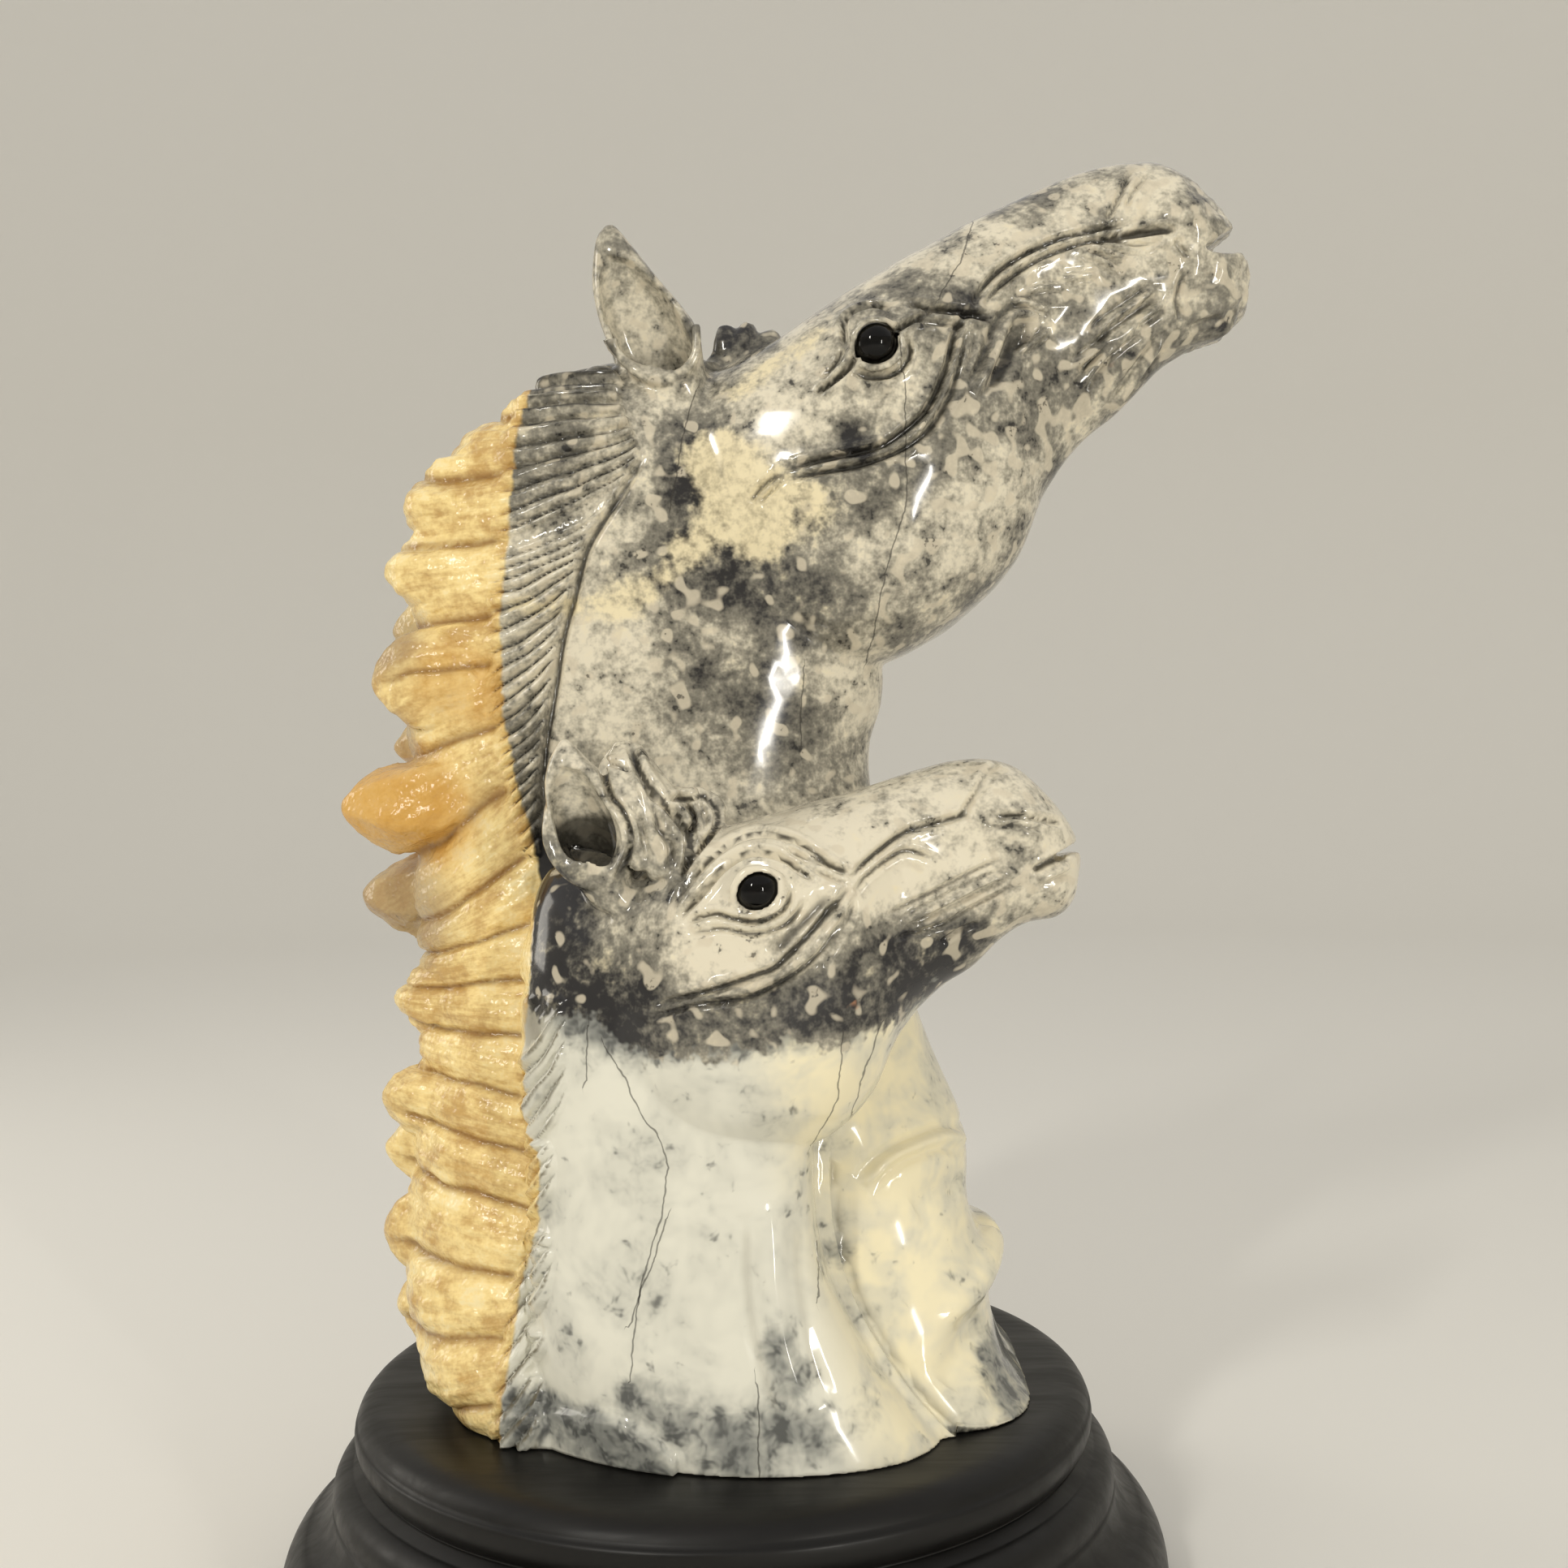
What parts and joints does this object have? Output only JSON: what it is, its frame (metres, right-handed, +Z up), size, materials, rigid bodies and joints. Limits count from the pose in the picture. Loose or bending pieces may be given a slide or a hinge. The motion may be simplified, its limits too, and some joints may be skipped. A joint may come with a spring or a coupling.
{
  "type": "horse and foal carving",
  "caption": "Polished stone carving of a mare's head and a foal's head with a crystal back edge and inlaid bead eyes, on a turned round wooden stand.",
  "frame": {"origin": "centre of the stand's underside, at the level of the surface it stands on", "axes": "+Z up, +X the way both heads face, -Y the foal's side"},
  "size_m": [0.2448, 0.216, 0.3513],
  "materials": {
    "stone": "polished",
    "bead": "high polish",
    "stand": "satin black stain"
  },
  "bodies": {
    "root": {"carved_stone": "stone", "mare_right_eye": "bead", "mare_left_eye": "bead", "foal_right_eye": "bead", "round_stand": "stand"}
  },
  "joints": []
}
